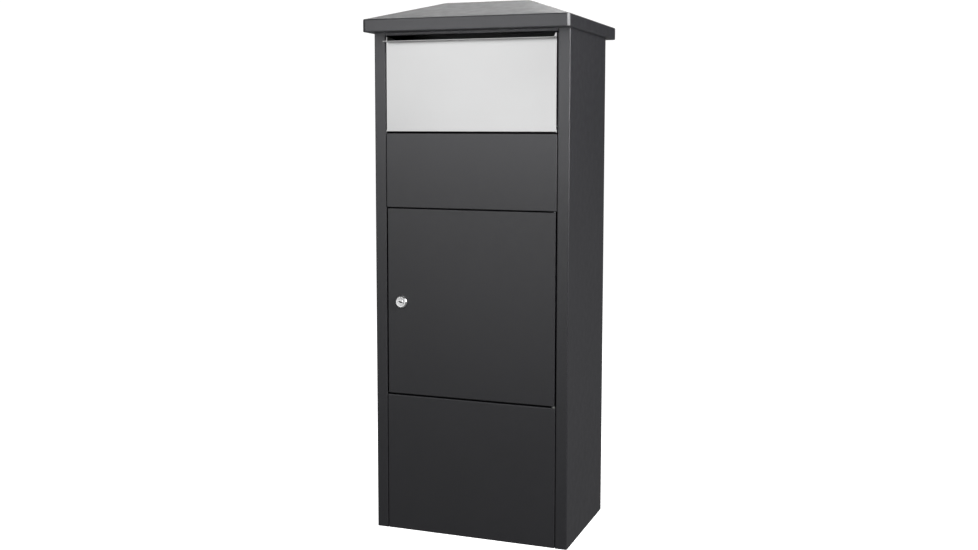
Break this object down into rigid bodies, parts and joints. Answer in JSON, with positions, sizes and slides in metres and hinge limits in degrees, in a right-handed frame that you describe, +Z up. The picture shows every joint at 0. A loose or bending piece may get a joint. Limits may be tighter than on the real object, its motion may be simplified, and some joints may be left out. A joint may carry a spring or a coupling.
{
  "type": "parcel drop box",
  "caption": "Free-standing steel parcel drop box with a hipped roof cap, a tilt-out stainless deposit hopper and a locked collection door.",
  "frame": {"origin": "on the ground under the middle of the roof, which is the box's widest and deepest part", "axes": "+X to the right as seen from in front, +Y to the back, +Z up"},
  "size_m": [0.418, 0.34, 1.055],
  "materials": {
    "coat": "satin anthracite powder coat",
    "zinc": "bright zinc plating",
    "stainless": "fine brushed stainless steel",
    "nylon": "natural nylon",
    "rubber": "matt black",
    "chrome": "polished chrome"
  },
  "bodies": {
    "cabinet": {"left_side_panel": "coat", "right_side_panel": "coat", "back_panel": "coat", "base_plate": "coat", "floor_support_left": "coat", "floor_support_right": "coat", "compartment_floor": "coat", "lower_front_panel": "coat", "upper_front_panel": "coat", "header_rail": "coat", "top_plate": "coat", "roof_cap": "coat", "roof_stiffener_front": "zinc", "roof_stiffener_rear": "zinc", "roof_screws": "zinc", "baffle_plate": "coat", "baffle_screws": "zinc", "hopper_rest_left": "coat", "hopper_rest_right": "coat", "rest_bumpers": "rubber", "flap_bush_left": "rubber", "flap_bush_right": "rubber", "door_pin_upper": "zinc", "door_pin_lower": "zinc", "door_washer_upper": "coat", "door_washer_lower": "nylon", "panel_rivets": "zinc", "back_rivets": "zinc"},
    "hopper": {"flap_panel": "stainless", "cheek_left": "stainless", "cheek_right": "stainless", "hopper_shelf": "stainless", "flap_pin_left": "zinc", "flap_pin_right": "zinc", "flap_pin_clips": "zinc", "flap_stops": "rubber"},
    "door": {"door_panel": "coat", "door_stiffener": "coat", "lock_housing": "chrome", "lock_nut": "zinc"},
    "lock": {"lock_plug": "chrome", "lock_cam": "zinc", "cam_screw": "zinc"}
  },
  "joints": [
    {"name": "hopper_tilt", "type": "hinge", "parent": "cabinet", "child": "hopper", "pos_m": [0, -0.1265, 0.81], "axis": [1, 0, 0], "range_deg": [0, 45]},
    {"name": "door_swing", "type": "hinge", "parent": "cabinet", "child": "door", "pos_m": [0.171, -0.1302, 0.463], "axis": [0, 0, 1], "range_deg": [0, 100]},
    {"name": "lock_turn", "type": "hinge", "parent": "door", "child": "lock", "pos_m": [-0.144, -0.134, 0.463], "axis": [0, 1, 0], "range_deg": [0, 90]}
  ]
}
